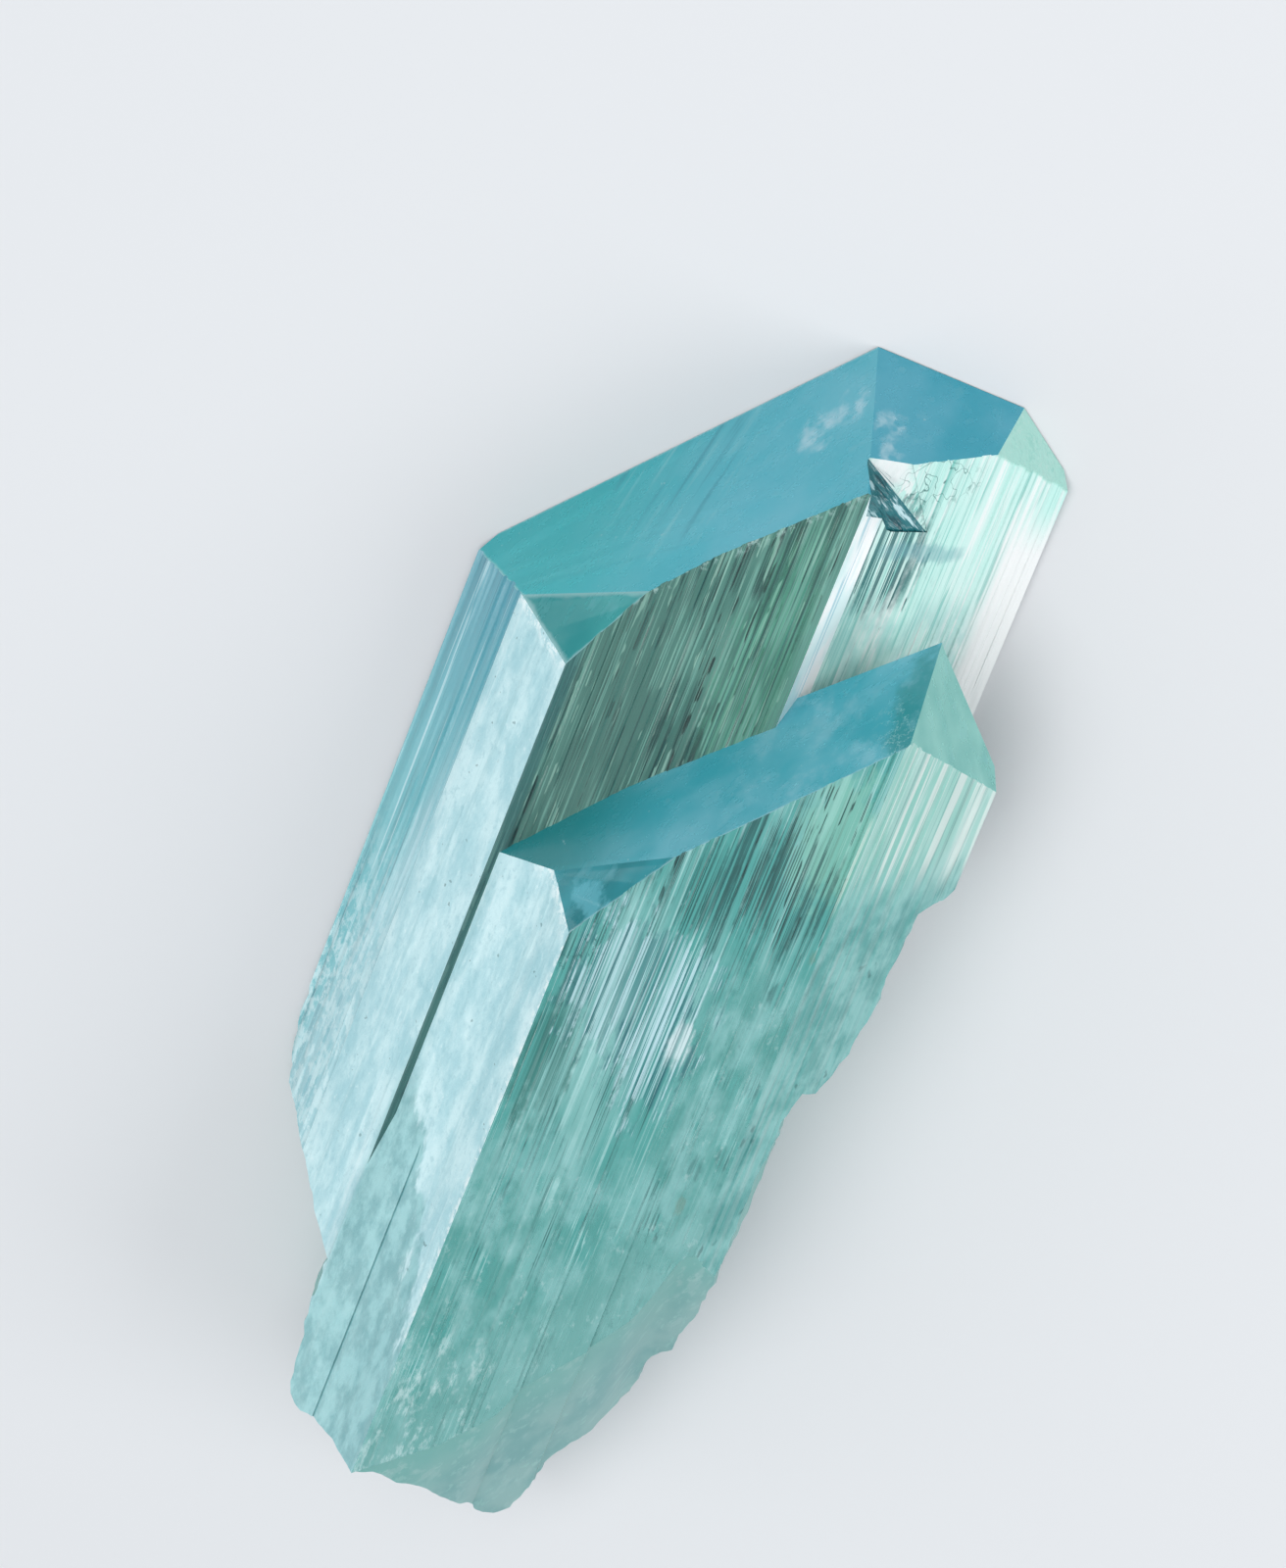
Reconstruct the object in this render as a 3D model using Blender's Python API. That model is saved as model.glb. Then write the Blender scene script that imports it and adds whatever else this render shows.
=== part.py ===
"""Kunzite crystal: two crystals grown side by side as one piece, lying on its broad back face.

Drawn in millimetres with X across the crystal, +Y along its length to the finished head and +Z
out of the broad front face, then brought to metres with the bottom centre of its box at the origin.
"""

import math
import random

import bmesh
import bpy
from mathutils import Matrix, Vector, noise

MM = 0.001
SEED = 11

# The main crystal, as a cross-section: back, right side, front face, left side in two faces.
BACK_LEFT, BACK_RIGHT = -11.5, 8.4
RIGHT_EDGE, RIGHT_STEP = (8.85, 0.45), (2.45, 4.9)
FRONT_RIGHT, FRONT_DIP, FRONT_LEFT = (1.7, 6.8), (-2.9, 6.3), (-6.95, 6.5)
LEFT_BEND = (-9.7, 3.5)
LEFT_EDGE = (-12.0, 0.35)

# The smaller crystal on its front, which hangs over the main one on the right.
TOP_Z = 10.7
TOP_RIGHT, TOP_LEFT = 6.7, -2.8
LEFT_FOOT, LEFT_MIDDLE = (-6.95, 6.2), (-4.33, 8.56)
RIGHT_BEND, OVERHANG_EDGE = (9.3, 7.6), (10.75, 5.9)
OVERHANG_UNDER, OVERHANG_ARCH, OVERHANG_ROOT = (10.3, 5.5), (6.6, 6.55), (2.0, 5.9)

# Growth lines along the length: distance between them and how deep they go.
LINE_PITCH, LINE_DEPTH = 0.42, 0.07

# End faces, as Y = reach + slope_x * X + slope_z * Z.
MAIN_END = {"broad": (21.18, 1.26, -0.72), "small": (34.1, 2.09, -2.1), "right": (20.89, -0.01, -0.385)}
TOP_END = {"broad": (9.8, 1.26, -0.72), "small": (21.98, 1.81, -1.86), "right": (25.65, -1.4, -0.51)}
CORNER_POINT, CORNER_NORMAL = (6.05, 20.8, 0.0), (0.58, 0.737, 0.348)

# Infill below the overhang, and the seam where the groove on the left closes.
INFILL = [(1.5, 4.5), (6.0, 1.5), (8.6, 0.3), (9.9, 1.6), (9.9, 6.85), (8.4, 8.5), (1.5, 7.2)]
INFILL_TOP_Y = 1.5
SEAM = [(-7.1, 6.1), (-5.4, 6.3), (-5.2, 7.85), (-7.0, 6.5)]
SEAM_TOP_Y = -17.5

# Chip at the corner of the main head: the corners of its floor and the way it opens.
CHIP_FLOOR = [(1.0, 18.9, 5.2), (1.85, 17.1, 6.45), (2.95, 15.75, 4.35), (4.3, 15.9, 3.5), (2.75, 19.05, 4.62)]
CHIP_OPENING = (0.5, 2.4, 3.2)

# Thin plates missing from the front near the broken end: left edge of each and its depth.
PLATES = [(2.3, 0.25), (4.25, 0.3)]
PLATES_TOP_Y, PLATES_RAMP = -13.5, 8.0

# The worn slope at the lower right: it falls away below this start line in X and Y.
SLOPE_START = [
    (-3.0, -31.0), (0.0, -28.0), (1.8, -25.5), (2.3, -24.0), (4.2, -21.2), (5.4, -19.0), (5.7, -18.0),
    (6.3, -15.2), (7.5, -14.2), (13.0, -9.0),
]
SLOPE_EDGE, SLOPE_FALL, SLOPE_ROUGH, SLOPE_GRID = 0.12, 0.475, 0.16, 0.9
SLOPE_ROWS = [16.0, 12.0, 9.0, 6.5, 4.0, 2.0, 0.0, -0.05, -1.2, -2.6, -4.0, -6.0, -8.0, -10.0, -12.5, -15.0, -18.0, -22.0, -26.0]

# Outline of the broken sides and end, seen from the front, from the right side round to the left.
BROKEN = [
    (11.3, 4.4), (10.8, 3.3), (10.5, 2.2), (9.65, 1.9), (9.5, -2.0), (9.45, -5.2), (9.1, -6.1),
    (8.75, -6.8), (8.15, -6.8), (7.95, -9.5), (8.0, -13.9), (7.85, -17.6), (7.55, -20.2), (7.3, -22.3),
    (6.9, -23.1), (6.7, -24.4), (6.3, -26.9), (5.8, -28.0), (5.0, -28.3), (4.6, -29.8), (4.25, -31.5),
    (3.9, -33.2), (3.3, -33.8), (2.6, -33.5), (1.5, -32.3), (0.0, -31.3), (-2.1, -30.8), (-4.2, -30.9),
    (-6.4, -30.6), (-6.7, -29.2), (-7.0, -26.5), (-7.0, -24.1), (-7.4, -23.8), (-9.0, -22.7),
    (-10.0, -21.5), (-10.7, -20.8), (-11.4, -20.4), (-11.7, -18.9), (-12.3, -14.5),
]
BREAK_STEP, BREAK_ROUGH, BREAK_LEVELS = 0.8, 0.16, 9

REACH = 45.0
LOW = -42.0


def clear_scene():
    for obj in list(bpy.data.objects):
        bpy.data.objects.remove(obj)
    for collection in list(bpy.data.collections):
        bpy.data.collections.remove(collection)


def make_collection(name, hidden=False):
    collection = bpy.data.collections.new(name)
    collection.hide_render = hidden
    bpy.context.scene.collection.children.link(collection)
    return collection


def crystal_material(name, colour):
    material = bpy.data.materials.new(name)
    material.use_nodes = True
    material.diffuse_color = (*colour, 1.0)
    shader = material.node_tree.nodes["Principled BSDF"]
    shader.inputs["Base Color"].default_value = (*colour, 1.0)
    shader.inputs["Roughness"].default_value = 0.12
    shader.inputs["IOR"].default_value = 1.66
    return material


def add_object(name, mesh_builder, collection, material=None):
    """Turns a bmesh in millimetres into an object in metres."""
    bmesh.ops.recalc_face_normals(mesh_builder, faces=mesh_builder.faces)
    mesh_builder.transform(Matrix.Scale(MM, 4))
    mesh = bpy.data.meshes.new(name)
    mesh_builder.to_mesh(mesh)
    mesh_builder.free()
    obj = bpy.data.objects.new(name, mesh)
    collection.objects.link(obj)
    if material is not None:
        mesh.materials.append(material)
    else:
        obj.hide_render = True
        obj.display_type = "WIRE"
    return obj


def growth_lines(start, end, rng, pitch=LINE_PITCH, depth=LINE_DEPTH):
    """Points along one side of a cross-section, stepped in and out by small amounts.

    The side runs counter-clockwise, so its left is the inside of the crystal.
    """
    start, end = Vector(start), Vector(end)
    along = end - start
    inward = Vector((-along.y, along.x)).normalized()
    places = [0.0]
    while places[-1] < along.length:
        places.append(places[-1] + pitch * rng.uniform(0.35, 1.65))
    places = [p / places[-1] for p in places]
    points = []
    for left, right in zip(places[:-1], places[1:]):
        sunk = depth * rng.random() ** 1.5
        riser = 0.03 / along.length
        points.append(start + along * (left + riser) + inward * sunk)
        points.append(start + along * (right - riser) + inward * sunk)
    points[0], points[-1] = start, end
    return points


def prism(outline, low_y, high_y):
    """A bar along Y from a cross-section in X and Z: a filled 2D curve, stood up and welded."""
    curve = bpy.data.curves.new("outline", "CURVE")
    curve.dimensions = "2D"
    curve.fill_mode = "BOTH"
    curve.extrude = (high_y - low_y) / 2
    spline = curve.splines.new("POLY")
    spline.points.add(len(outline) - 1)
    for point, (x, z) in zip(spline.points, outline):
        point.co = (x, z, 0.0, 1.0)
    spline.use_cyclic_u = True
    drawn = bpy.data.objects.new("outline", curve)
    bpy.context.scene.collection.objects.link(drawn)
    bpy.context.view_layer.update()
    graph = bpy.context.evaluated_depsgraph_get()
    mesh = bpy.data.meshes.new_from_object(drawn.evaluated_get(graph))
    bar = bmesh.new()
    bar.from_mesh(mesh)
    bpy.data.objects.remove(drawn)
    bpy.data.curves.remove(curve)
    bpy.data.meshes.remove(mesh)
    bmesh.ops.remove_doubles(bar, verts=bar.verts, dist=1e-5)
    for face in bar.faces:
        face.smooth = False
    upright = Matrix.Rotation(math.pi / 2, 4, "X")
    bar.transform(Matrix.Translation((0.0, (low_y + high_y) / 2, 0.0)) @ upright)
    return bar


def cut_off(solid, point, normal):
    """Removes what lies beyond a plane and closes the cut with one face."""
    geometry = solid.verts[:] + solid.edges[:] + solid.faces[:]
    cut = bmesh.ops.bisect_plane(
        solid, geom=geometry, dist=1e-6, plane_co=point, plane_no=normal, clear_outer=True
    )
    rim = [item for item in cut["geom_cut"] if isinstance(item, bmesh.types.BMEdge)]
    bmesh.ops.contextual_create(solid, geom=rim)


def cut_end(solid, plane):
    """An end face given as Y = reach + slope_x * X + slope_z * Z."""
    reach, slope_x, slope_z = plane
    cut_off(solid, (0.0, reach, 0.0), Vector((-slope_x, 1.0, -slope_z)).normalized())


def main_crystal(rng):
    outline = [Vector((BACK_LEFT, 0.0)), Vector((BACK_RIGHT, 0.0))]
    outline += growth_lines(RIGHT_EDGE, RIGHT_STEP, rng, depth=0.11)
    outline += growth_lines(FRONT_RIGHT, FRONT_DIP, rng)
    outline += growth_lines(FRONT_DIP, FRONT_LEFT, rng)[1:]
    outline += [Vector(LEFT_BEND)]
    outline += growth_lines(LEFT_BEND, LEFT_EDGE, rng, depth=0.1)[1:]
    solid = prism(outline, LOW, REACH)
    for name in ("broad", "small", "right"):
        cut_end(solid, MAIN_END[name])
    cut_off(solid, CORNER_POINT, Vector(CORNER_NORMAL).normalized())
    return solid


def top_crystal(rng):
    outline = [Vector(OVERHANG_ROOT), Vector(OVERHANG_ARCH), Vector(OVERHANG_UNDER)]
    outline += growth_lines(OVERHANG_EDGE, RIGHT_BEND, rng)
    outline += growth_lines(RIGHT_BEND, (TOP_RIGHT, TOP_Z), rng)[1:]
    outline += growth_lines((TOP_RIGHT, TOP_Z), (TOP_LEFT, TOP_Z), rng, depth=0.09)[1:]
    outline += [Vector(LEFT_MIDDLE), Vector(LEFT_FOOT), Vector((-4.0, 4.6))]
    solid = prism(outline, LOW, REACH)
    for name in ("broad", "small", "right"):
        cut_end(solid, TOP_END[name])
    return solid


def infill():
    solid = prism([Vector(p) for p in INFILL], LOW, INFILL_TOP_Y)
    return solid


def seam():
    solid = prism([Vector(p) for p in SEAM], LOW, SEAM_TOP_Y)
    cut_off(solid, (-6.5, SEAM_TOP_Y - 1.5, 6.5), Vector((-0.75, 0.66, 0.0)).normalized())
    return solid


def chip():
    """A wedge with the chip's floor below and open air above."""
    wedge = bmesh.new()
    for corner in CHIP_FLOOR:
        wedge.verts.new(corner)
        wedge.verts.new(Vector(corner) + Vector(CHIP_OPENING))
    bmesh.ops.convex_hull(wedge, input=wedge.verts)
    return wedge


def slope_start(x):
    """The Y at which the lower slope begins, read from its start line."""
    for (left, near), (right, far) in zip(SLOPE_START[:-1], SLOPE_START[1:]):
        if x <= right:
            return near + (far - near) * (x - left) / (right - left)
    return SLOPE_START[-1][1]


def front_height(x, y):
    """The top of the front crystal near its broken end: two missing plates, then the slope."""
    ramp = min(1.0, max(0.0, (PLATES_TOP_Y - y) / PLATES_RAMP))
    drop = sum(depth * ramp for edge, depth in PLATES if x > edge)
    below = slope_start(x) - y
    if below > 0.0:
        drop += SLOPE_EDGE + SLOPE_FALL * below
    wave = noise.noise((x * 0.5, y * 0.25, 3.0)) + 0.4 * noise.noise((x * 1.2, y * 0.6, 8.0))
    return TOP_Z - drop + max(0.0, 0.1 - drop) + SLOPE_ROUGH * wave * min(1.0, drop)


def lower_slope():
    """Everything above the worn lower front: plates with edges along the length, then a slope."""
    columns = [SLOPE_START[0][0] - 0.03, SLOPE_START[0][0]]
    stops = [edge for edge, _ in PLATES] + [SLOPE_START[-1][0]]
    for stop in stops:
        left = columns[-1]
        count = round((stop - left) / SLOPE_GRID)
        columns += [left + (stop - 0.02 - left) * i / count for i in range(1, count + 1)]
        columns.append(stop + 0.02)
    block = bmesh.new()
    rows = []
    for away in SLOPE_ROWS:
        row = [block.verts.new((columns[0], slope_start(columns[0]) + away, 30.0))]
        for x in columns[1:]:
            y = slope_start(x) + away
            row.append(block.verts.new((x, y, front_height(x, y))))
        rows.append(row)
    for near, far in zip(rows[:-1], rows[1:]):
        for i in range(len(near) - 1):
            block.faces.new((near[i], near[i + 1], far[i + 1], far[i]))
    made = bmesh.ops.extrude_face_region(block, geom=block.faces[:])
    for item in made["geom"]:
        if isinstance(item, bmesh.types.BMVert):
            item.co.z = 40.0
    return block


def broken_ring(rng):
    """The broken outline with points no further apart than the break step, moved a little."""
    ring = []
    for start, end in zip(BROKEN[:-1], BROKEN[1:]):
        start, end = Vector(start), Vector(end)
        parts = max(1, round((end - start).length / BREAK_STEP))
        side = Vector((start.y - end.y, end.x - start.x)).normalized()
        for i in range(parts):
            jog = rng.uniform(-0.5, 0.5) * BREAK_ROUGH if i else 0.0
            ring.append(start.lerp(end, i / parts) + side * jog)
    ring.append(Vector(BROKEN[-1]))
    return ring


def kept_block(rng):
    """What stays after the break: the broken outline, carried down through uneven levels."""
    around = [Vector(p) for p in ((-13.5, -12.0), (-13.5, 30.0), (13.0, 30.0), (13.0, 8.0))]
    ring = broken_ring(rng) + around
    block = bmesh.new()
    rows = []
    for level in range(BREAK_LEVELS):
        z = -1.0 + 13.0 * level / (BREAK_LEVELS - 1)
        row = []
        for x, y in ring:
            place = Vector((x * 0.5, y * 0.5, z * 0.6))
            side = noise.noise(place) * BREAK_ROUGH * 1.6
            length = noise.noise(place + Vector((0.0, 0.0, 20.0))) * BREAK_ROUGH * 3.0
            row.append(block.verts.new((x + side, y + length, z)))
        rows.append(row)
    count = len(ring)
    for low, high in zip(rows[:-1], rows[1:]):
        for i in range(count):
            block.faces.new((low[i], low[(i + 1) % count], high[(i + 1) % count], high[i]))
    block.faces.new(rows[0])
    block.faces.new(rows[-1])
    return block


def boolean(obj, name, operation, other):
    modifier = obj.modifiers.new(name, "BOOLEAN")
    modifier.operation = operation
    modifier.object = other
    modifier.solver = "EXACT"


def centre_on_base(obj, helpers):
    """Moves the crystal and its helpers so that the bottom centre of its box is the origin."""
    bpy.context.view_layer.update()
    shape = obj.evaluated_get(bpy.context.evaluated_depsgraph_get())
    corners = [Vector(corner) for corner in shape.bound_box]
    low = Vector([min(c[i] for c in corners) for i in range(3)])
    high = Vector([max(c[i] for c in corners) for i in range(3)])
    shift = Matrix.Translation(-Vector(((low.x + high.x) / 2, (low.y + high.y) / 2, low.z)))
    for item in [obj] + helpers:
        item.data.transform(shift)


def main():
    clear_scene()
    rng = random.Random(SEED)
    noise.seed_set(SEED)
    parts = make_collection("kunzite_crystal")
    cutters = make_collection("kunzite_crystal_helpers", hidden=True)
    crystal = add_object("crystal", main_crystal(rng), parts, crystal_material("spodumene", (0.28, 0.6, 0.6)))
    steps = [
        ("top_crystal", "UNION", top_crystal(rng)),
        ("infill", "UNION", infill()),
        ("seam", "UNION", seam()),
        ("chip", "DIFFERENCE", chip()),
        ("lower_slope", "DIFFERENCE", lower_slope()),
        ("kept_block", "INTERSECT", kept_block(rng)),
    ]
    helpers = []
    for name, operation, shape in steps:
        helper = add_object(name, shape, cutters)
        helpers.append(helper)
        boolean(crystal, name, operation, helper)
    centre_on_base(crystal, helpers)


main()
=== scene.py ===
"""Looks for a blue-green kunzite crystal that lies on its broad back face on a pale floor."""

import math
import random

import bmesh
import bpy
from bpy.props import FloatProperty, FloatVectorProperty, IntProperty, PointerProperty
from mathutils import Matrix, Vector, noise


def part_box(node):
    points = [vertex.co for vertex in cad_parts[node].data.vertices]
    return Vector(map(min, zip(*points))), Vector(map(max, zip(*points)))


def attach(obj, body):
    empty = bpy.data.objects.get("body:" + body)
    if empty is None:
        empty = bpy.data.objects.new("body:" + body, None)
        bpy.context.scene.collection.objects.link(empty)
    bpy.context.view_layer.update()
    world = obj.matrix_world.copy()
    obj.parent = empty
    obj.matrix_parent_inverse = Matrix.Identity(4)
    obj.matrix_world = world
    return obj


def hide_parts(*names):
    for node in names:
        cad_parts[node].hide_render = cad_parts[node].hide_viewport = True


bl_info = {
    "name": "Kunzite crystal",
    "version": (1, 0, 0),
    "blender": (4, 5, 0),
    "location": "3D View > Sidebar > Crystal",
    "description": "Builds the surface of a kunzite crystal and a small stage for it",
    "category": "Add Mesh",
}

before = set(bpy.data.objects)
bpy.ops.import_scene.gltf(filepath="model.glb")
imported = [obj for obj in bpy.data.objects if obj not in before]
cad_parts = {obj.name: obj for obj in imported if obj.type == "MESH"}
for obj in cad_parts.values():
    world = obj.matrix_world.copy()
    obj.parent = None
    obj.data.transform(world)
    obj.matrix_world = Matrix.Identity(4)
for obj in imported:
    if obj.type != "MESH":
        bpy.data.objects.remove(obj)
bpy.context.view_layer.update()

MM = 0.001
NODE = "crystal"

# The crystal is drawn in millimetres: X across, +Y to the finished head, Z out of its front.
LEFT_EDGE = (-12.0, 0.35)
APEX_Y = 20.892
BACK_LEFT, BACK_RIGHT = -11.5, 8.4
RIGHT_EDGE, RIGHT_STEP = (8.85, 0.45), (2.45, 4.9)
FRONT_RIGHT, FRONT_DIP, FRONT_LEFT = (1.7, 6.8), (-2.9, 6.3), (-6.95, 6.5)
LEFT_BEND = (-9.7, 3.5)

# The smaller crystal on top.
TOP_Z = 10.7
TOP_RIGHT, TOP_LEFT = 6.7, -2.8
LEFT_FOOT, LEFT_MIDDLE, INNER_CORNER = (-6.95, 6.2), (-4.33, 8.56), (-4.0, 4.6)
RIGHT_BEND, OVERHANG_EDGE = (9.3, 7.6), (10.75, 5.9)
OVERHANG_UNDER, OVERHANG_ARCH, OVERHANG_ROOT = (10.3, 5.5), (6.6, 6.55), (2.0, 5.9)

# End faces, as Y = reach + slope_x * X + slope_z * Z.
MAIN_END = {"broad": (21.18, 1.26, -0.72), "small": (34.1, 2.09, -2.1), "right": (20.89, -0.01, -0.385)}
TOP_END = {"broad": (9.8, 1.26, -0.72), "small": (21.98, 1.81, -1.86), "right": (25.65, -1.4, -0.51)}
CORNER_POINT, CORNER_NORMAL = (6.05, 20.8, 0.0), (0.58, 0.737, 0.348)

# The pale infill under the overhang and the seam in the groove.
INFILL = [(1.5, 4.5), (6.0, 1.5), (8.6, 0.3), (9.9, 1.6), (9.9, 6.85), (8.4, 8.5), (1.5, 7.2)]
INFILL_TOP_Y = 1.5
SEAM = [(-7.1, 6.1), (-5.4, 6.3), (-5.2, 7.85), (-7.0, 6.5)]
SEAM_TOP_Y = -15.0
SEAM_RUN_OUT, SEAM_RUN_OUT_NORMAL = (-6.95, -16.5, 6.2), (-0.669, 0.08, 0.743)

# The chip below the head, and the two missing plates, as (X of the edge, depth).
CHIP_FLOOR = [(1.0, 18.9, 5.2), (1.85, 17.1, 6.45), (2.95, 15.75, 4.35), (4.3, 15.9, 3.5)]
CHIP_SIDE = [(1.0, 18.9, 5.2), (4.3, 15.9, 3.5), (2.75, 19.05, 4.62)]
CHIP_OPENING = (0.5, 2.4, 3.2)
PLATES = [(2.3, 0.25), (4.25, 0.3)]
PLATES_TOP_Y, PLATES_RAMP = -13.5, 8.0

# The worn slope at the lower right: its start line as (X, Y), the step at its edge, its fall and roughness.
SLOPE_START = [
    (-3.0, -31.0), (0.0, -28.0), (1.8, -25.5), (2.3, -24.0), (4.2, -21.2), (5.4, -19.0), (5.7, -18.0),
    (6.3, -15.2), (7.5, -14.2), (13.0, -9.0),
]
SLOPE_EDGE, SLOPE_FALL, SLOPE_ROUGH = 0.12, 0.475, 0.16
SLOPE_DIRECTION = (0.879, -0.478, 0.0)

# The block that cuts the slope: its reach before and past the slope's start, its grid, how steep its
# edges are, how far it stays clear of a face that is left alone, and the heights of its wall and top.
SLOPE_BEFORE, SLOPE_PAST = 16.0, 26.0
SLOPE_PITCH, SLOPE_STEP = 0.22, 0.5
WALL_RUN, PLATE_RUN, EDGE_RUN, CLEARANCE = 0.03, 0.02, 0.04, 0.1
WALL_Z, BLOCK_TOP_Z = 30.0, 40.0

# The outline of the broken end, its jogs, and the waves in its depth, as (stretch, sideways, lengthways).
BROKEN = [
    (11.3, 4.4), (10.8, 3.3), (10.5, 2.2), (9.65, 1.9), (9.5, -2.0), (9.45, -5.2), (9.1, -6.1),
    (8.75, -6.8), (8.15, -6.8), (7.95, -9.5), (8.0, -13.9), (7.85, -17.6), (7.55, -20.2), (7.3, -22.3),
    (6.9, -23.1), (6.7, -24.4), (6.3, -26.9), (5.8, -28.0), (5.0, -28.3), (4.6, -29.8), (4.25, -31.5),
    (3.9, -33.2), (3.3, -33.8), (2.6, -33.5), (1.5, -32.3), (0.0, -31.3), (-2.1, -30.8), (-4.2, -30.9),
    (-6.4, -30.6), (-6.7, -29.2), (-7.0, -26.5), (-7.0, -24.1), (-7.4, -23.8), (-9.0, -22.7),
    (-10.0, -21.5), (-10.7, -20.8), (-11.4, -20.4), (-11.7, -18.9), (-12.3, -14.5),
]
BROKEN_STEP, BROKEN_ROUGH = 0.4, 0.12
REST_OF_RING = [(-13.5, -12.0), (-13.5, 30.0), (13.0, 30.0), (13.0, 8.0)]
BLOCK_LOW, BLOCK_HEIGHT, BLOCK_LEVELS = -1.0, 13.0, 30
BROKEN_WAVES = [((0.5, 0.5, 0.6), 0.25, 0.48), ((1.9, 1.9, 1.7), 0.09, 0.12)]
OTHER_WAVE = Vector((0.0, 0.0, 20.0))

# The uncut bars, and the spacing and depth of the growth lines on each side.
REACH, LOW, RING_STEP = 45.0, -42.0, 2.2
RIGHT_LINES, FRONT_LINES, SILKY_LINES, RIBBED_LINES = (0.24, 0.1), (0.17, 0.07), (0.6, 0.012), (0.2, 0.09)
OVERHANG_LINES, TOP_RIGHT_LINES, TOP_FRONT_LINES = (0.24, 0.09), (0.2, 0.09), (0.15, 0.08)
RISER = 0.02

SHARP_ANGLE = math.radians(35.0)
IOR = 1.66

# Marks inside the crystal, as (middle, size): wisps near the tip, then those on the smaller crystal's front,
# where GLINT is a painted highlight.
WISPS = [
    ((-1.15, 17.8, 2.7), (0.9, 1.5, 1.4)), ((-0.3, 19.2, 2.2), (0.7, 1.2, 1.2)),
    ((1.4, 19.5, 3.3), (0.8, 0.9, 1.1)), ((1.9, 19.1, 4.4), (0.7, 0.8, 0.9)),
]
WHITE_STREAKS = [((0.6, -4.4, 10.7), (4.2, 5.0, 2.0)), ((2.2, -6.8, 10.7), (2.2, 4.6, 2.0))]
GLINT = ((2.92, -5.8, 10.7), (0.6, 1.5, 1.0))
DARK_SPOTS = [(5.4, -10.9, 10.6), (6.3, -9.9, 10.6), (6.3, -6.4, 10.6), (5.8, -2.0, 10.6)]
DARK_SPOT_SIZE = (0.4, 0.8, 1.0)
BROWN_SPOTS = [(5.47, -12.8, 10.6), (6.5, 0.3, 10.6)]
BROWN_SPOT_SIZE = (0.2, 0.5, 1.0)

# The material slots of the crystal, in the order in which make_finishes lists the materials.
(
    END, SMALL_END, TOP_END_FACE, TOP_SMALL_END, SILKY, RIBBED, FRONT, STRIP,
    RIGHT, TOP_FRONT, TOP_RIGHT_FACE, TOP_RIGHT_END, RIGHT_END, BREAK, BACK, CHIP,
) = range(16)

# The camera is leaned from straight above, then rolled.
PICTURE_HEIGHT_PX = 1600
PX_PER_MM = 25.5
CAMERA_LEAN, CAMERA_ROLL = math.radians(30.0), math.radians(22.2)
CAMERA_DISTANCE_MM = 400.0
CAMERA_AIM = (0.0, 0.0, 5.0)
CAMERA_SHIFT = (-44 / PICTURE_HEIGHT_PX, 50 / PICTURE_HEIGHT_PX)

# The area lights, as (place, aim, size) in the drawing's millimetres.
MAIN_LIGHT = ((-60.0, 60.0, 320.0), (0.0, 0.0, 0.0), (260.0, 260.0))
LEFT_LIGHT = ((-230.0, -150.0, 70.0), (0.0, -5.0, 6.0), (200.0, 130.0))
RIGHT_LIGHT = ((260.0, 40.0, 170.0), (0.0, 0.0, 5.0), (180.0, 140.0))


def row_shift():
    """Where the drawing's origin lies in the row frame, in millimetres."""
    low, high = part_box(NODE)
    return Vector((low.x / MM - LEFT_EDGE[0], high.y / MM - APEX_Y, low.z / MM))


SHIFT = row_shift()


# Shape


def growth_lines(start, end, finish, rng, fine, pitch, depth):
    """One side of a cross-section as (point, inward, depth, line number, finish), counter-clockwise."""
    start, end = Vector(start), Vector(end)
    along = end - start
    inward = Vector((-along.y, along.x)).normalized()
    places = [0.0]
    while places[-1] < along.length:
        places.append(places[-1] + pitch / fine * rng.uniform(0.3, 1.7))
    places = [p / places[-1] for p in places]
    riser = RISER / along.length
    points = []
    for left, right in zip(places[:-1], places[1:]):
        sunk = depth * rng.random() ** 1.6
        line = rng.random() * 90.0
        points.append((start + along * (left + riser), inward, sunk, line, finish))
        points.append((start + along * (right - riser), inward, sunk, line, finish))
    points[0] = (start, inward, 0.0, 0.0, finish)
    return points[:-1]


def corner(point, finish):
    """A plain corner of a cross-section. The finish is that of the side that follows."""
    return Vector(point), Vector((0.0, 0.0)), 0.0, 0.0, finish


def line_strength(line, y):
    """How clearly one growth line shows at this point of the length: they come and go."""
    value = 0.55 + 1.5 * noise.noise((line, y * 0.085, 4.0)) + 0.5 * noise.noise((line, y * 0.4, 9.0))
    return min(1.0, max(0.0, value))


def lined_bar(outline, low_y, high_y, step):
    """A bar along Y through the outline's points, each line sunk by its own changing depth."""
    bar = bmesh.new()
    rings = max(1, round((high_y - low_y) / step))
    rows = []
    for j in range(rings + 1):
        y = low_y + (high_y - low_y) * j / rings
        row = []
        for point, inward, sunk, line, _ in outline:
            place = point + inward * (sunk * line_strength(line, y)) if sunk else point
            row.append(bar.verts.new((place.x, y, place.y)))
        rows.append(row)
    count = len(outline)
    for near, far in zip(rows[:-1], rows[1:]):
        for i in range(count):
            k = (i + 1) % count
            face = bar.faces.new((near[i], near[k], far[k], far[i]))
            face.material_index = outline[i][4]
    bar.faces.new(rows[0])
    bar.faces.new(rows[-1])
    bmesh.ops.triangulate(bar, faces=bar.faces)
    return bar


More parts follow.
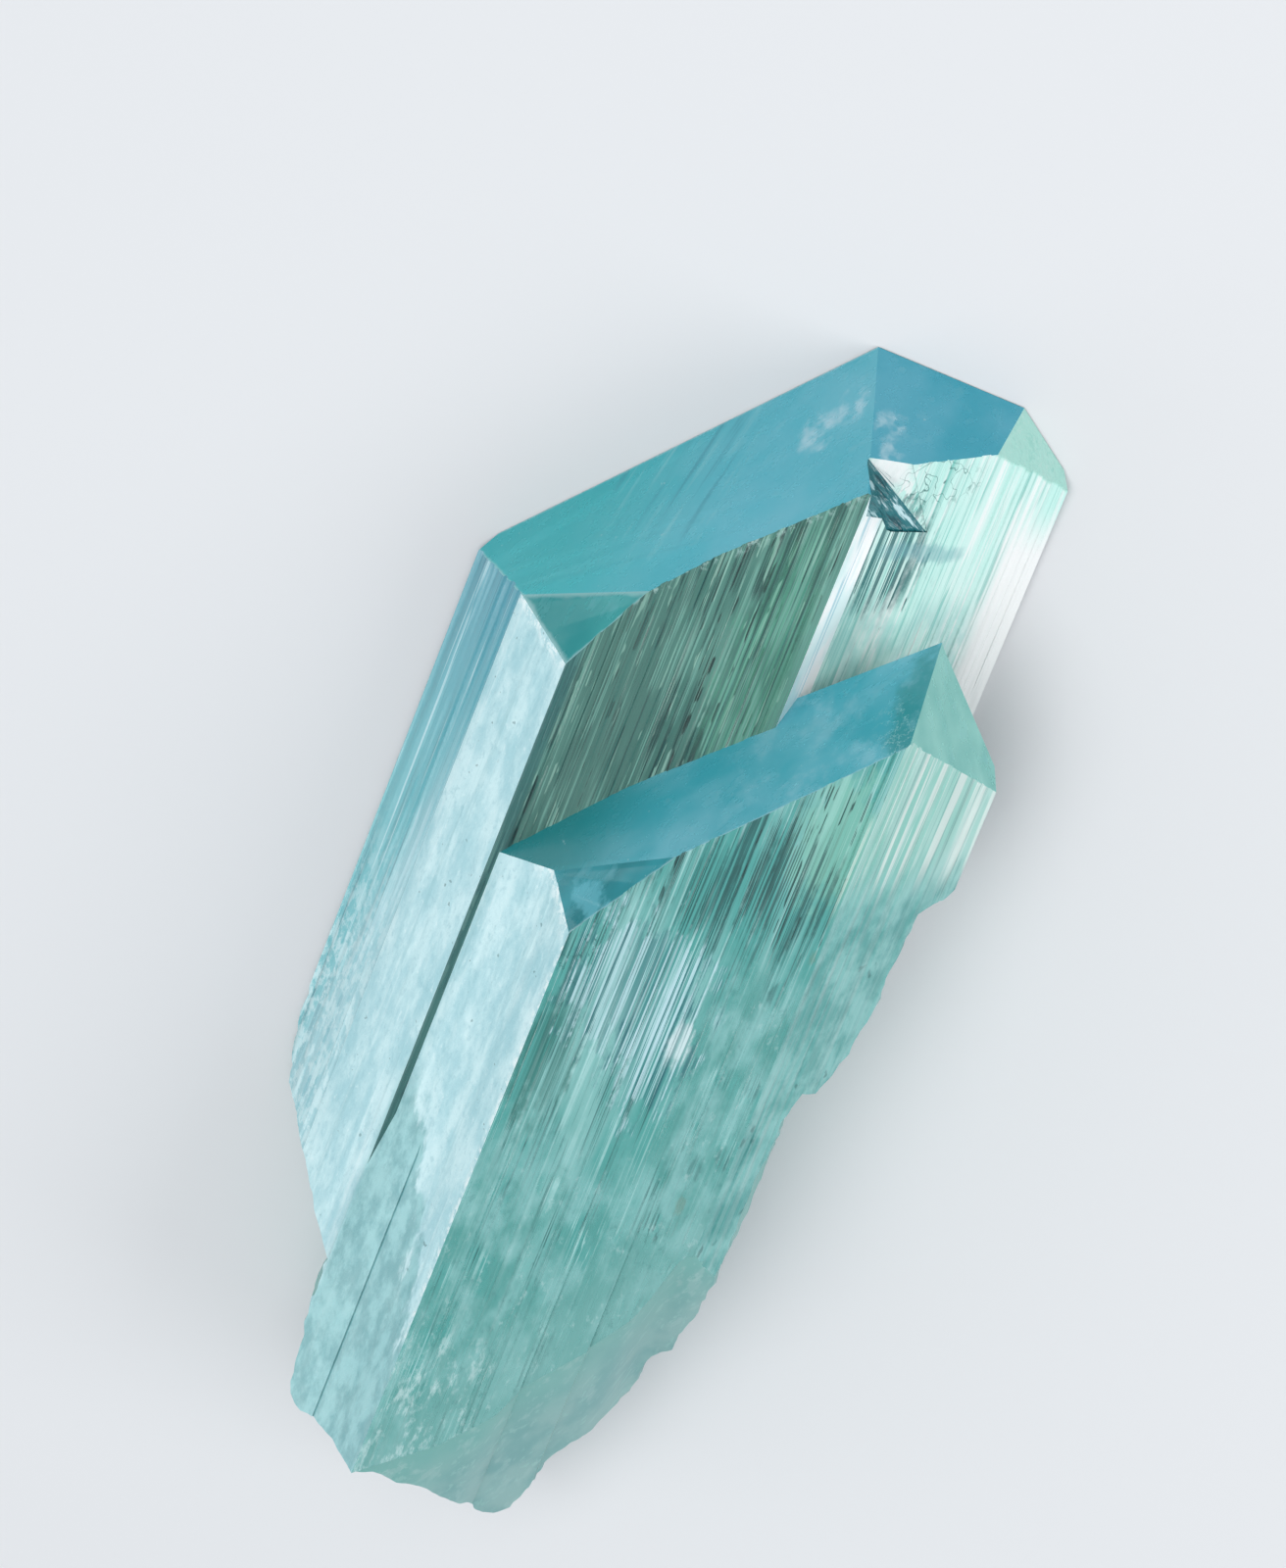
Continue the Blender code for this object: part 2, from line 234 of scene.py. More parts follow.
def cut_off(solid, point, normal, finish):
    """Cuts off what lies beyond the plane and closes the cut with a face."""
    geometry = solid.verts[:] + solid.edges[:] + solid.faces[:]
    cut = bmesh.ops.bisect_plane(
        solid, geom=geometry, dist=1e-6, plane_co=point, plane_no=normal, clear_outer=True
    )
    rim_highlight = [item for item in cut["geom_cut"] if isinstance(item, bmesh.types.BMEdge)]
    closed = bmesh.ops.contextual_create(solid, geom=rim_highlight)
    for face in closed["faces"]:
        face.material_index = finish


def cut_end(solid, plane, finish):
    reach, slope_x, slope_z = plane
    cut_off(solid, (0.0, reach, 0.0), Vector((-slope_x, 1.0, -slope_z)).normalized(), finish)


def main_crystal(rng, fine):
    outline = [corner((BACK_LEFT, 0.0), BACK), corner((BACK_RIGHT, 0.0), RIGHT)]
    outline += growth_lines(RIGHT_EDGE, RIGHT_STEP, RIGHT, rng, fine, *RIGHT_LINES)
    outline += [corner(RIGHT_STEP, STRIP)]
    outline += growth_lines(FRONT_RIGHT, FRONT_DIP, FRONT, rng, fine, *FRONT_LINES)
    outline += growth_lines(FRONT_DIP, FRONT_LEFT, FRONT, rng, fine, *FRONT_LINES)
    outline += growth_lines(FRONT_LEFT, LEFT_BEND, SILKY, rng, fine, *SILKY_LINES)
    outline += growth_lines(LEFT_BEND, LEFT_EDGE, RIBBED, rng, fine, *RIBBED_LINES)
    outline += [corner(LEFT_EDGE, RIBBED)]
    solid = lined_bar(outline, LOW, REACH, RING_STEP / fine)
    cut_end(solid, MAIN_END["broad"], END)
    cut_end(solid, MAIN_END["small"], SMALL_END)
    cut_end(solid, MAIN_END["right"], RIGHT_END)
    cut_off(solid, CORNER_POINT, Vector(CORNER_NORMAL).normalized(), RIGHT)
    return solid


def top_crystal(rng, fine):
    outline = [corner(OVERHANG_ROOT, BACK), corner(OVERHANG_ARCH, BACK)]
    outline += [corner(OVERHANG_UNDER, TOP_RIGHT_FACE)]
    outline += growth_lines(OVERHANG_EDGE, RIGHT_BEND, TOP_RIGHT_FACE, rng, fine, *OVERHANG_LINES)
    outline += growth_lines(RIGHT_BEND, (TOP_RIGHT, TOP_Z), TOP_RIGHT_FACE, rng, fine, *TOP_RIGHT_LINES)
    outline += growth_lines((TOP_RIGHT, TOP_Z), (TOP_LEFT, TOP_Z), TOP_FRONT, rng, fine, *TOP_FRONT_LINES)
    outline += growth_lines((TOP_LEFT, TOP_Z), LEFT_MIDDLE, SILKY, rng, fine, *SILKY_LINES)
    outline += growth_lines(LEFT_MIDDLE, LEFT_FOOT, SILKY, rng, fine, *SILKY_LINES)
    outline += [corner(LEFT_FOOT, BACK), corner(INNER_CORNER, BACK)]
    solid = lined_bar(outline, LOW, REACH, RING_STEP / fine)
    cut_end(solid, TOP_END["broad"], TOP_END_FACE)
    cut_end(solid, TOP_END["small"], TOP_SMALL_END)
    cut_end(solid, TOP_END["right"], TOP_RIGHT_END)
    return solid


def infill():
    """The pale filling under the overhang of the smaller crystal."""
    return lined_bar([corner(p, RIGHT) for p in INFILL], LOW, INFILL_TOP_Y, REACH - LOW)


def seam():
    """The strip that closes the groove between the two crystals low down."""
    solid = lined_bar([corner(p, SILKY) for p in SEAM], LOW, SEAM_TOP_Y, REACH - LOW)
    cut_off(solid, SEAM_RUN_OUT, Vector(SEAM_RUN_OUT_NORMAL).normalized(), SILKY)
    return solid


def wedge(floor, finish):
    """A wedge with this floor below and open air above."""
    solid = bmesh.new()
    for place in floor:
        solid.verts.new(place)
        solid.verts.new(Vector(place) + Vector(CHIP_OPENING))
    bmesh.ops.convex_hull(solid, input=solid.verts)
    for face in solid.faces:
        face.material_index = finish
    return solid


def slope_start(x):
    """The Y at which the lower slope begins, read from its start line."""
    for (left, near), (right, far) in zip(SLOPE_START[:-1], SLOPE_START[1:]):
        if x <= right:
            return near + (far - near) * (x - left) / (right - left)
    return SLOPE_START[-1][1]


def front_height(x, y):
    """The top of the front crystal near its broken end: two missing plates, then the slope."""
    ramp = min(1.0, max(0.0, (PLATES_TOP_Y - y) / PLATES_RAMP))
    drop = sum(depth * ramp for edge, depth in PLATES if x > edge)
    below = slope_start(x) - y
    if below > 0.0:
        drop += SLOPE_EDGE + SLOPE_FALL * below
    wave = noise.noise((x * 0.5, y * 0.25, 3.0)) + 0.4 * noise.noise((x * 1.2, y * 0.6, 8.0))
    wave += 0.1 * noise.noise((x * 4.0, y * 0.8, 2.0))
    return TOP_Z - drop + max(0.0, CLEARANCE - drop) + SLOPE_ROUGH * wave * min(1.0, drop)


def lower_slope(fine):
    """Everything above the worn lower front: plates with edges along the length, then a slope."""
    columns = [SLOPE_START[0][0] - WALL_RUN, SLOPE_START[0][0]]
    for stop in [edge for edge, _ in PLATES] + [SLOPE_START[-1][0]]:
        left = columns[-1]
        count = round((stop - left) * fine / SLOPE_PITCH)
        columns += [left + (stop - PLATE_RUN - left) * i / count for i in range(1, count + 1)]
        columns.append(stop + PLATE_RUN)
    step = SLOPE_STEP / fine
    aways = [SLOPE_BEFORE - i * step for i in range(round(SLOPE_BEFORE / step))] + [0.0, -EDGE_RUN]
    aways += [-i * step for i in range(1, round(SLOPE_PAST / step))]
    block = bmesh.new()
    rows = []
    for away in aways:
        row = [block.verts.new((columns[0], slope_start(columns[0]) + away, WALL_Z))]
        for x in columns[1:]:
            y = slope_start(x) + away
            row.append(block.verts.new((x, y, front_height(x, y))))
        rows.append(row)
    for j, (near, far) in enumerate(zip(rows[:-1], rows[1:])):
        finish = BREAK if aways[j + 1] < 0.0 else TOP_FRONT
        for i in range(len(near) - 1):
            face = block.faces.new((near[i], near[i + 1], far[i + 1], far[i]))
            face.material_index = finish
    made = bmesh.ops.extrude_face_region(block, geom=block.faces[:])
    for item in made["geom"]:
        if isinstance(item, bmesh.types.BMVert):
            item.co.z = BLOCK_TOP_Z
    bmesh.ops.triangulate(block, faces=block.faces)
    return block


def broken_ring(step):
    """The outline of the broken end, with small jogs."""
    ring = []
    for start, end in zip(BROKEN[:-1], BROKEN[1:]):
        start, end = Vector(start), Vector(end)
        parts = max(1, round((end - start).length / step))
        side = Vector((start.y - end.y, end.x - start.x)).normalized()
        for i in range(parts):
            place = start.lerp(end, i / parts)
            jog = noise.noise((place.x * 2.3, place.y * 2.3, 1.0)) * BROKEN_ROUGH
            ring.append(place + side * jog)
    ring.append(Vector(BROKEN[-1]))
    return ring


def kept_block(fine):
    """The block that is kept of the crystal: its lower end is broken and uneven in depth too."""
    ring = broken_ring(BROKEN_STEP / fine) + [Vector(p) for p in REST_OF_RING]
    block = bmesh.new()
    rows, levels = [], round(BLOCK_LEVELS * fine)
    for level in range(levels + 1):
        z = BLOCK_LOW + BLOCK_HEIGHT * level / levels
        row = []
        for x, y in ring:
            side = length = 0.0
            for stretch, sideways, lengthways in BROKEN_WAVES:
                wave = Vector((x * stretch[0], y * stretch[1], z * stretch[2]))
                side += noise.noise(wave) * sideways
                length += noise.noise(wave + OTHER_WAVE) * lengthways
            row.append(block.verts.new((x + side, y + length, z)))
        rows.append(row)
    count = len(ring)
    for near, far in zip(rows[:-1], rows[1:]):
        for i in range(count):
            block.faces.new((near[i], near[(i + 1) % count], far[(i + 1) % count], far[i]))
    block.faces.new(rows[0])
    block.faces.new(rows[-1])
    bmesh.ops.triangulate(block, faces=block.faces)
    for face in block.faces:
        face.material_index = BREAK
    return block


def to_object(name, solid, materials):
    """A bmesh in the drawing's millimetres as an object in metres in the row frame."""
    bmesh.ops.recalc_face_normals(solid, faces=solid.faces)
    solid.transform(Matrix.Scale(MM, 4) @ Matrix.Translation(SHIFT))
    mesh = bpy.data.meshes.new(name)
    solid.to_mesh(mesh)
    solid.free()
    for material in materials:
        mesh.materials.append(material)
    obj = bpy.data.objects.new(name, mesh)
    bpy.context.scene.collection.objects.link(obj)
    return obj


def combine(base, operation, other):
    """Joins to or cuts from the base, keeping each face's finish, and drops the other."""
    modifier = base.modifiers.new(operation, "BOOLEAN")
    modifier.operation = operation
    modifier.object = other
    modifier.solver = "EXACT"
    modifier.material_mode = "INDEX"
    bpy.context.view_layer.update()
    graph = bpy.context.evaluated_depsgraph_get()
    mesh = bpy.data.meshes.new_from_object(base.evaluated_get(graph))
    base.modifiers.clear()
    base.data = mesh
    bpy.data.objects.remove(other)
    if len(mesh.polygons) < 4:
        raise RuntimeError(f"{operation} left nothing of {base.name}")


def soften(mesh):
    """Rounds the shading of the worn faces and keeps every edge between crystal faces sharp."""
    worn = [face.material_index in (BREAK, BACK, CHIP) for face in mesh.polygons]
    mesh.polygons.foreach_set("use_smooth", worn)
    mesh.set_sharp_from_angle(angle=SHARP_ANGLE)


def build_crystal(settings, materials):
    """Both crystals grown together, then worn, chipped and broken."""
    fine = settings.fineness
    rng = random.Random(settings.seed)
    crystal = to_object("crystal_surface", main_crystal(rng, fine), materials)
    steps = [
        ("UNION", top_crystal(rng, fine)),
        ("UNION", infill()),
        ("UNION", seam()),
        ("DIFFERENCE", wedge(CHIP_SIDE, RIGHT)),
        ("DIFFERENCE", wedge(CHIP_FLOOR, CHIP)),
        ("DIFFERENCE", lower_slope(fine)),
        ("INTERSECT", kept_block(fine)),
    ]
    for number, (operation, solid) in enumerate(steps):
        combine(crystal, operation, to_object(f"step_{number}", solid, materials))
    soften(crystal.data)
    return crystal


# Finish

# Where the Mix node keeps its colour sockets: it has a set for each type of data, all named alike.
FIRST_COLOUR, SECOND_COLOUR, MIXED_COLOUR = 6, 7, 2


class Nodes:
    """Small helper that adds nodes to one tree and joins them."""

    def __init__(self, tree):
        self.tree = tree
        self.column = 0

    def add(self, kind, **values):
        node = self.tree.nodes.new(kind)
        node.location = (self.column * 180, 0)
        self.column += 1
        for name, value in values.items():
            setattr(node, name, value)
        return node

    def link(self, source, target):
        self.tree.links.new(source, target)

    def put(self, socket, value):
        if isinstance(value, bpy.types.NodeSocket):
            self.link(value, socket)
        else:
            socket.default_value = value

    def math(self, operation, *values, clamp=False):
        node = self.add("ShaderNodeMath", operation=operation, use_clamp=clamp)
        for socket, value in zip(node.inputs, values):
            self.put(socket, value)
        return node.outputs[0]

    def times(self, first, second):
        return self.math("MULTIPLY", first, second)

    def vector(self, operation, *values):
        node = self.add("ShaderNodeVectorMath", operation=operation)
        for socket, value in zip(node.inputs, values):
            self.put(socket, value)
        return node.outputs["Value"] if operation in ("DOT_PRODUCT", "LENGTH") else node.outputs[0]

    def range(self, value, low, high, to_low=0.0, to_high=1.0):
        node = self.add("ShaderNodeMapRange", interpolation_type="SMOOTHSTEP")
        for socket, item in zip(node.inputs, (value, low, high, to_low, to_high)):
            self.put(socket, item)
        return node.outputs[0]

    def mix(self, factor, first, second):
        node = self.add("ShaderNodeMix", data_type="RGBA")
        self.put(node.inputs["Factor"], factor)
        self.put(node.inputs[FIRST_COLOUR], first)
        self.put(node.inputs[SECOND_COLOUR], second)
        return node.outputs[MIXED_COLOUR]

    def noise(self, place, scale, detail=3.0, roughness=0.5):
        node = self.add("ShaderNodeTexNoise")
        self.put(node.inputs["Vector"], place)
        node.inputs["Scale"].default_value = scale
        node.inputs["Detail"].default_value = detail
        node.inputs["Roughness"].default_value = roughness
        return node.outputs["Fac"]


def new_group(name, inputs, outputs):
    """A node group with its helper, its input node and its output node."""
    group = bpy.data.node_groups.new(name, "ShaderNodeTree")
    for label, kind, default in inputs:
        socket = group.interface.new_socket(label, in_out="INPUT", socket_type=kind)
        if default is not None:
            socket.default_value = default
    for label, kind in outputs:
        group.interface.new_socket(label, in_out="OUTPUT", socket_type=kind)
    nodes = Nodes(group)
    return group, nodes, nodes.add("NodeGroupInput"), nodes.add("NodeGroupOutput")


def place_group():
    """The point on the crystal in the drawing's millimetres."""
    group, n, _, out = new_group("crystal_place", [], [("Place", "NodeSocketVector")])
    coordinate = n.add("ShaderNodeTexCoord")
    scaled = n.vector("MULTIPLY", coordinate.outputs["Object"], (1000.0, 1000.0, 1000.0))
    n.link(n.vector("SUBTRACT", scaled, tuple(SHIFT)), out.inputs["Place"])
    return group


def streak_group():
    """Straight growth lines along the crystal: dark ones, light ones, short thin dashes and their relief."""
    inputs = [("Place", "NodeSocketVector", None), ("Density", "NodeSocketFloat", 3.5)]
    outputs = [(label, "NodeSocketFloat") for label in ("Dark", "Light", "Dash", "Relief")]
    group, n, given, out = new_group("growth_streaks", inputs, outputs)
    place = given.outputs["Place"]
    parts = n.add("ShaderNodeSeparateXYZ")
    n.link(place, parts.inputs[0])
    flat = n.add("ShaderNodeCombineXYZ")
    n.link(n.times(parts.outputs[0], given.outputs["Density"]), flat.inputs[0])
    n.link(n.times(parts.outputs[2], given.outputs["Density"]), flat.inputs[2])
    slow = n.vector("MULTIPLY", place, (0.0, 0.035, 0.0))
    across = n.vector("ADD", flat.outputs[0], slow)
    first = n.noise(across, 1.0, 3.0, 0.6)
    second = n.noise(n.vector("ADD", across, (31.0, 0.0, 17.0)), 1.3, 3.0, 0.6)
    fade = n.noise(n.vector("MULTIPLY", place, (1.1, 0.16, 1.1)), 1.0, 2.0, 0.6)
    dark = n.times(n.range(first, 0.55, 0.61), n.range(fade, 0.42, 0.52))
    light = n.times(n.range(second, 0.55, 0.63), n.range(fade, 0.58, 0.46))
    thin = n.noise(n.vector("ADD", across, (7.0, 0.0, 53.0)), 2.6, 2.0, 0.5)
    broken = n.noise(n.vector("MULTIPLY", place, (2.6, 0.5, 2.6)), 1.0, 2.0, 0.6)
    dash = n.times(n.range(thin, 0.57, 0.62), n.range(broken, 0.5, 0.56))
    relief = n.math("ADD", n.times(first, 0.6), n.times(second, 0.4))
    for label, value in (("Dark", dark), ("Light", light), ("Dash", dash), ("Relief", relief)):
        n.link(value, out.inputs[label])
    return group


def patch_group():
    """A soft uneven patch round a point: one at its middle and nothing beyond its size."""
    inputs = [
        ("Place", "NodeSocketVector", None),
        ("Centre", "NodeSocketVector", (0.0, 0.0, 0.0)),
        ("Size", "NodeSocketVector", (1.0, 1.0, 1.0)),
        ("Uneven", "NodeSocketFloat", 0.5),
    ]
    group, n, given, out = new_group("patch", inputs, [("Patch", "NodeSocketFloat")])
    place = given.outputs["Place"]
    away = n.vector("DIVIDE", n.vector("SUBTRACT", place, given.outputs["Centre"]), given.outputs["Size"])
    grain = n.noise(n.vector("MULTIPLY", place, (1.6, 0.7, 1.6)), 1.0, 4.0, 0.65)
    wander = n.times(n.math("SUBTRACT", grain, 0.5), n.times(given.outputs["Uneven"], 3.0))
    reach = n.math("ADD", n.vector("LENGTH", away), wander)
    n.link(n.range(reach, 1.0, 0.45), out.inputs["Patch"])
    return group


def edge_group():
    """A thin line where a face meets the plane with this normal and distance: the mask for painted edge
    highlights and for chipped rims.
    """
    inputs = [
        ("Place", "NodeSocketVector", None),
        ("Normal", "NodeSocketVector", (0.0, 0.0, 1.0)),
        ("Distance", "NodeSocketFloat", 0.0),
        ("Width", "NodeSocketFloat", 0.12),
    ]
    group, n, given, out = new_group("edge_line", inputs, [("Line", "NodeSocketFloat")])
    place = given.outputs["Place"]
    reach = n.vector("DOT_PRODUCT", place, given.outputs["Normal"])
    away = n.math("ABSOLUTE", n.math("SUBTRACT", reach, given.outputs["Distance"]))
    uneven = n.times(given.outputs["Width"], n.times(n.noise(place, 1.6), 2.2))
    n.link(n.math("SUBTRACT", 1.0, n.range(away, 0.0, uneven), clamp=True), out.inputs["Line"])
    return group


def end_plane(plane):
    """An end face as a unit normal and its distance from the drawing's origin."""
    reach, slope_x, slope_z = plane
    normal = Vector((-slope_x, 1.0, -slope_z))
    return tuple(normal.normalized()), reach / normal.length


def side_plane(start, end):
    """A side of a cross-section as a unit normal and its distance from the drawing's origin."""
    along = Vector(end) - Vector(start)
    normal = Vector((along.y, 0.0, -along.x)).normalized()
    return tuple(normal), normal.x * start[0] + normal.z * start[1]


class Finish:
    """One face's material as it is being made: its tree, shader and shared values."""

    def __init__(self, name, groups, settings, roughness, transmission):
        material = bpy.data.materials.new(f"kunzite_{name}")
        material.use_nodes = True
        material.diffuse_color = (*settings.colour, 1.0)
        self.material, self.groups = material, groups
        self.n = Nodes(material.node_tree)
        self.shader = material.node_tree.nodes["Principled BSDF"]
        self.shader.inputs["Roughness"].default_value = roughness
        self.shader.inputs["IOR"].default_value = IOR
        self.shader.inputs["Transmission Weight"].default_value = transmission
        absorb = self.n.add("ShaderNodeVolumeAbsorption")
        absorb.inputs["Color"].default_value = (*settings.absorption_colour, 1.0)
        absorb.inputs["Density"].default_value = settings.absorption_density
        self.n.link(absorb.outputs[0], material.node_tree.nodes["Material Output"].inputs["Volume"])
        self.place = self.use("place").outputs["Place"]
        self.colour_value = None

    def use(self, group, **values):
        node = self.n.add("ShaderNodeGroup", node_tree=self.groups[group])
        if "Place" in node.inputs:
            self.n.link(self.place, node.inputs["Place"])
        for name, value in values.items():
            self.n.put(node.inputs[name], value)
        return node

    def grain(self, stretch, detail, roughness):
        return self.n.noise(self.n.vector("MULTIPLY", self.place, stretch), 1.0, detail, roughness)

    def hairlines(self, grain, width):
        """Thin cracks where the grain crosses its middle value."""
        away = self.n.math("ABSOLUTE", self.n.math("SUBTRACT", grain, 0.5))
        return self.n.math("SUBTRACT", 1.0, self.n.range(away, 0.0, width))

    def edges(self, planes, width):
        """The strongest of the thin lines where this face meets the given planes."""
        total = 0.0
        for normal, distance in planes:
            line = self.use("edge", Normal=normal, Distance=distance, Width=width).outputs["Line"]
            total = self.n.math("MAXIMUM", total, line)
        return total

    def patch(self, centre, size, uneven=0.5):
        """A soft spot on the face: one at its middle and nothing beyond its size."""
        return self.use("patch", Centre=centre, Size=size, Uneven=uneven).outputs["Patch"]

    def along(self, start, end):
        """Rises from nothing at the first Y to one at the second."""
        return self.n.range(self.n.vector("DOT_PRODUCT", self.place, (0.0, 1.0, 0.0)), start, end)

    def across(self, start, end, lean=0.0):
        """Rises from nothing at the first X to one at the second, plus the lean for each unit of Y."""
        return self.n.range(self.n.vector("DOT_PRODUCT", self.place, (1.0, lean, 0.0)), start, end)

    def past_slope(self, start, end):
        """Rises from nothing to one between two distances, measured at right angles to the slope's start."""
        return self.n.range(self.n.vector("DOT_PRODUCT", self.place, SLOPE_DIRECTION), start, end)

    def paint(self, mask, amount, colour):
        """Lays a colour over the one so far, as far as the mask and the amount say."""
        self.colour_value = self.n.mix(self.n.times(mask, amount), self.colour_value, colour)

    def roughness(self, value):
        self.n.put(self.shader.inputs["Roughness"], value)

    def bump(self, height, distance_mm, strength=1.0):
        node = self.n.add("ShaderNodeBump")
        node.inputs["Strength"].default_value = strength
        node.inputs["Distance"].default_value = distance_mm * MM
        self.n.link(height, node.inputs["Height"])
        self.n.link(node.outputs[0], self.shader.inputs["Normal"])

    def done(self):
        """The material, with the colour painted so far as its base colour."""
        self.n.put(self.shader.inputs["Base Color"], self.colour_value)
        return self.material


def tint(red, green, blue):
    """A display colour from 0 to 255 as the shader's linear colour."""
    parts = [value / 255 for value in (red, green, blue)]
    return tuple(v / 12.92 if v <= 0.04045 else ((v + 0.055) / 1.055) ** 2.4 for v in parts) + (1.0,)


def tip_wisps(f):
    grain = f.grain((1.5, 1.0, 1.5), 3.0, 0.55)
    for centre, size in WISPS:
        shown = f.n.times(f.patch(centre, size, 0.3), f.n.range(grain, 0.4, 0.66))
        f.paint(shown, 0.7, tint(196, 232, 244))


def slanting_lines(f):
    """Faint lines that run across the large end face, over a greener left part."""
    n = f.n
    f.paint(f.across(-2.0, -9.5), 0.75, tint(48, 186, 188))
    lines = n.add("ShaderNodeCombineXYZ")
    n.link(n.vector("DOT_PRODUCT", f.place, (1.2, 0.72, 1.1)), lines.inputs[0])
    n.link(n.vector("DOT_PRODUCT", f.place, (0.014, 0.05, -0.047)), lines.inputs[1])
    lines = n.noise(lines.outputs[0], 1.0, 3.0, 0.6)
    zone = f.patch((-5.6, 13.2, 0.6), (3.6, 5.0, 6.0), 0.3)
    f.paint(n.times(zone, n.range(lines, 0.54, 0.64)), 0.55, tint(58, 148, 166))
    f.paint(n.times(zone, n.range(lines, 0.46, 0.38)), 0.45, tint(146, 214, 222))


def top_end_clouds(f):
    """Darker green corners, pale clouds and a few cracks on the smaller crystal's end face."""
    n = f.n
    f.paint(f.patch((6.5, 11.4, 9.6), (1.1, 2.2, 20.0), 0.4), 0.75, tint(20, 146, 148))
    f.paint(f.across(-0.5, -5.0), 0.85, tint(8, 134, 136))
    clouds = f.grain((0.7, 0.5, 0.7), 5.0, 0.65)
    f.paint(n.times(f.across(-1.5, 1.5), n.range(clouds, 0.48, 0.66)), 0.6, tint(140, 208, 222))
    cracks = f.hairlines(f.grain((1.4, 1.4, 1.4), 4.0, 0.65), 0.012)
    f.paint(n.times(cracks, f.patch((6.2, 10.6, 9.7), (1.8, 1.2, 2.4), 0.3)), 0.8, tint(170, 226, 228))


def pale_corner(f):
    f.paint(f.patch((-2.6, -1.5, 10.2), (1.2, 0.9, 1.4), 0.9), 0.6, tint(112, 200, 216))


def end_finish(name, groups, settings, base, light, rims=(), marks=(), shine=0.25):
    """Satin end faces: an even blue-green with faint growth streaks, some marks and painted highlights as
    thin bright lines along their rims.
    """
    f = Finish(name, groups, settings, 0.3, 0.3)
    f.shader.inputs["Specular IOR Level"].default_value = shine
    n = f.n
    hillocks = f.grain((1.6, 0.35, 1.6), 4.0, 0.6)
    f.colour_value = n.mix(n.range(f.grain((0.35, 0.06, 0.35), 3.0, 0.55), 0.35, 0.68), base, light)
    f.paint(n.range(hillocks, 0.55, 0.8), 0.35, tint(140, 206, 218))
    for mark in marks:
        mark(f)
    specks = n.range(n.noise(f.place, 3.1, 2.0, 0.5), 0.74, 0.78)
    f.paint(specks, 0.45, tint(190, 228, 232))
    # Painted highlight: thin bright lines along the edges with the given planes.
    f.paint(f.edges(rims, 0.08), 0.5, tint(196, 234, 236))
    f.roughness(n.range(hillocks, 0.3, 0.8, 0.2, 0.34))
    f.bump(hillocks, 0.03, 0.4)
    return f.done()


def silky_finish(groups, settings):
    """The pale silky left faces: nearly white with a fine etched texture, clearer low down."""
    f = Finish("silky_side", groups, settings, 0.4, 0.15)
    n = f.n
    streak = f.use("streaks", Density=1.6)
    broad = f.grain((0.9, 0.3, 0.9), 5.0, 0.65)
    etch = f.grain((3.6, 2.2, 3.6), 5.0, 0.75)
    f.colour_value = n.mix(n.range(broad, 0.36, 0.66), tint(158, 208, 216), tint(200, 234, 238))
    f.paint(n.range(etch, 0.5, 0.7), 0.5, tint(138, 192, 202))
    f.paint(n.range(etch, 0.42, 0.3), 0.5, tint(226, 247, 250))
    f.paint(streak.outputs["Light"], 0.3, tint(228, 247, 249))
    f.paint(streak.outputs["Dark"], 0.25, tint(120, 180, 188))
    f.paint(n.range(n.noise(f.place, 2.4, 2.0, 0.5), 0.71, 0.76), 0.7, tint(84, 132, 138))
    veil = f.grain((1.3, 0.6, 1.3), 5.0, 0.65)
    grey = n.mix(n.range(veil, 0.36, 0.62), tint(96, 164, 168), tint(144, 202, 204))
    chips = f.grain((2.8, 2.2, 2.8), 4.0, 0.7)
    on_top = f.across(-6.9, -6.8)
    rims = n.times(on_top, f.edges([end_plane(TOP_END["small"]), ((0.0, 0.0, 1.0), TOP_Z)], 0.3))
    rims = n.math("MAXIMUM", rims, f.edges([end_plane(MAIN_END["small"])], 0.2))
    f.paint(n.times(rims, n.range(chips, 0.48, 0.56)), 0.85, tint(238, 252, 252))
    wander = n.times(n.math("SUBTRACT", broad, 0.5), 4.0)
    clear = n.vector("DOT_PRODUCT", f.place, (1.0, 0.327, 0.0))
    clear = n.range(n.math("ADD", clear, wander), -10.2, -10.8)
    f.paint(n.times(clear, n.times(f.across(-7.15, -6.85), f.along(-13.0, -16.0))), 0.85, grey)
    f.roughness(n.range(etch, 0.3, 0.8, 0.28, 0.5))
    f.bump(n.math("ADD", etch, streak.outputs["Relief"]), 0.035, 0.7)
    return f.done()


def ribbed_finish(groups, settings):
    """The far left face: bluish, with close growth lines and scaly patches low down."""
    f = Finish("ribbed_side", groups, settings, 0.26, 0.25)
    n = f.n
    streak = f.use("streaks", Density=4.0)
    f.colour_value = n.mix(f.along(12.0, -10.0), tint(84, 164, 184), tint(116, 196, 204))
    f.paint(streak.outputs["Dark"], 0.6, tint(38, 112, 132))
    f.paint(streak.outputs["Light"], 0.7, tint(196, 234, 242))
    scales = f.grain((1.8, 1.1, 1.8), 5.0, 0.7)
    f.paint(n.times(f.across(-10.2, -9.2, -0.1), f.along(4.0, -3.0)), 0.75, tint(176, 220, 228))
    shown = n.times(f.along(-5.0, -15.0), n.range(scales, 0.44, 0.58))
    f.paint(shown, 0.8, tint(206, 240, 244))
    f.bump(n.math("ADD", streak.outputs["Relief"], n.times(scales, 0.7)), 0.06, 0.8)
    return f.done()


